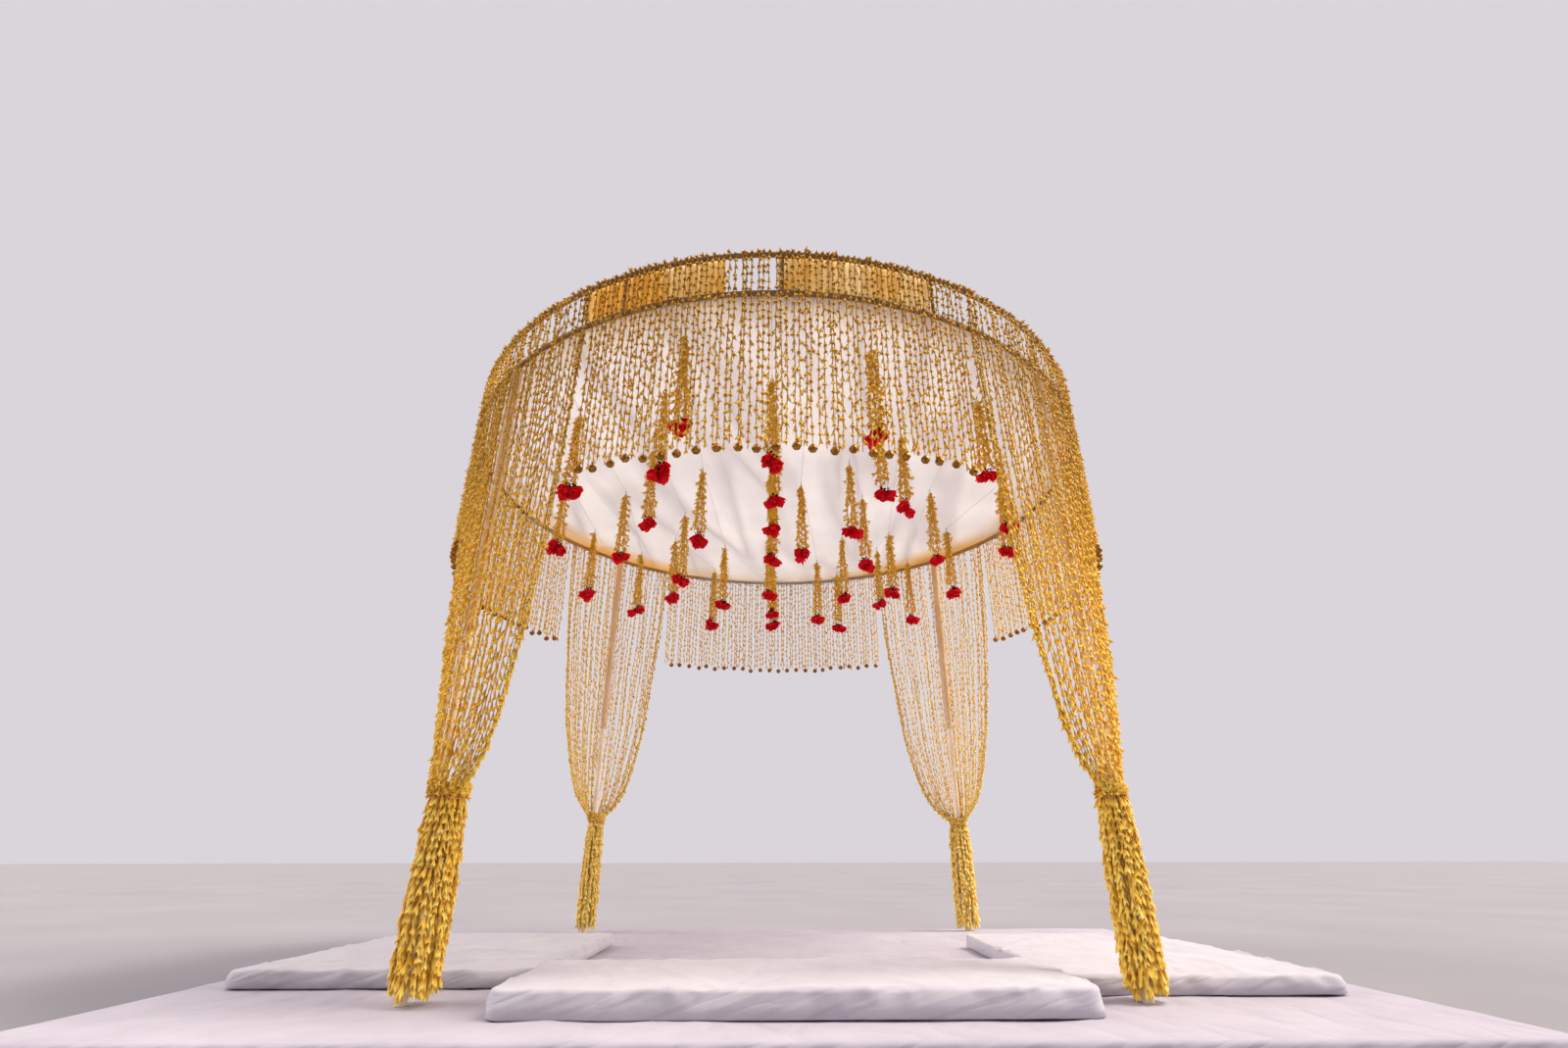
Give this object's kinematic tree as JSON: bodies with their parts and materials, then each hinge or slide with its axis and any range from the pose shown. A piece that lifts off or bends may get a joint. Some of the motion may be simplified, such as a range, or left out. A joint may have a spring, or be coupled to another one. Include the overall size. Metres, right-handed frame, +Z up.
{
  "type": "round floral wedding canopy on a low stage",
  "caption": "Round wedding canopy with flower-string curtains, corner drapes, a cloth ceiling and rose tassels, carried by posts on a low white stage.",
  "frame": {"origin": "on the vertical axis of the round canopy, on the ground under the stage", "axes": "+Z up, +X to the right seen from the front, +Y from the front to the back, so the front faces -Y"},
  "size_m": [4.5, 3.6496, 2.96],
  "materials": {
    "boards": "raw plywood boards and battens",
    "white_cotton": "plain white cotton sheeting, matt, softly creased",
    "ceiling_cotton": "thin white cotton with a warm pinkish cast where light comes through",
    "amber_voile": "sheer amber voile",
    "dark_steel": "dark brown-grey paint on steel pipe, scuffed",
    "white_paint": "white paint on steel tube, slightly soiled",
    "gold_buds": "waxy golden flower buds on brown thread",
    "cream_buds": "waxy cream-yellow flower buds on thread",
    "rose_red": "velvety red rose petals",
    "bell_brass": "aged brass, soft gloss"
  },
  "bodies": {
    "root": {"stage_deck": "boards", "stage_sheet": "white_cotton", "front_mattress": "white_cotton", "left_mattress": "white_cotton", "right_mattress": "white_cotton", "post_tube_back_right": "white_paint", "post_sleeve_back_right": "white_paint", "post_tube_back_left": "white_paint", "post_sleeve_back_left": "white_paint", "post_tube_front_left": "white_paint", "post_sleeve_front_left": "white_paint", "post_tube_front_right": "white_paint", "post_sleeve_front_right": "white_paint", "drum_quarter_back_right": "dark_steel", "drum_quarter_back_left": "dark_steel", "drum_quarter_front_left": "dark_steel", "drum_quarter_front_right": "dark_steel", "ceiling_cloth": "ceiling_cotton", "swag_left": "amber_voile", "swag_right": "amber_voile", "curtain_right": "gold_buds", "curtain_back": "gold_buds", "curtain_left": "gold_buds", "curtain_front": "gold_buds", "drape_back_right": "gold_buds", "tie_back_right": "gold_buds", "bunch_back_right": "cream_buds", "drape_back_left": "gold_buds", "tie_back_left": "gold_buds", "bunch_back_left": "cream_buds", "drape_front_left": "gold_buds", "tie_front_left": "gold_buds", "bunch_front_left": "cream_buds", "drape_front_right": "gold_buds", "tie_front_right": "gold_buds", "bunch_front_right": "cream_buds", "tassel_wire_1": "gold_buds", "tassel_wire_2": "gold_buds", "tassel_wire_3": "gold_buds", "tassel_wire_4": "gold_buds", "tassel_wire_5": "gold_buds", "tassel_wire_6": "gold_buds", "tassel_wire_7": "gold_buds", "tassel_wire_8": "gold_buds", "tassel_wire_9": "gold_buds", "tassel_wire_10": "gold_buds"}
  },
  "joints": []
}
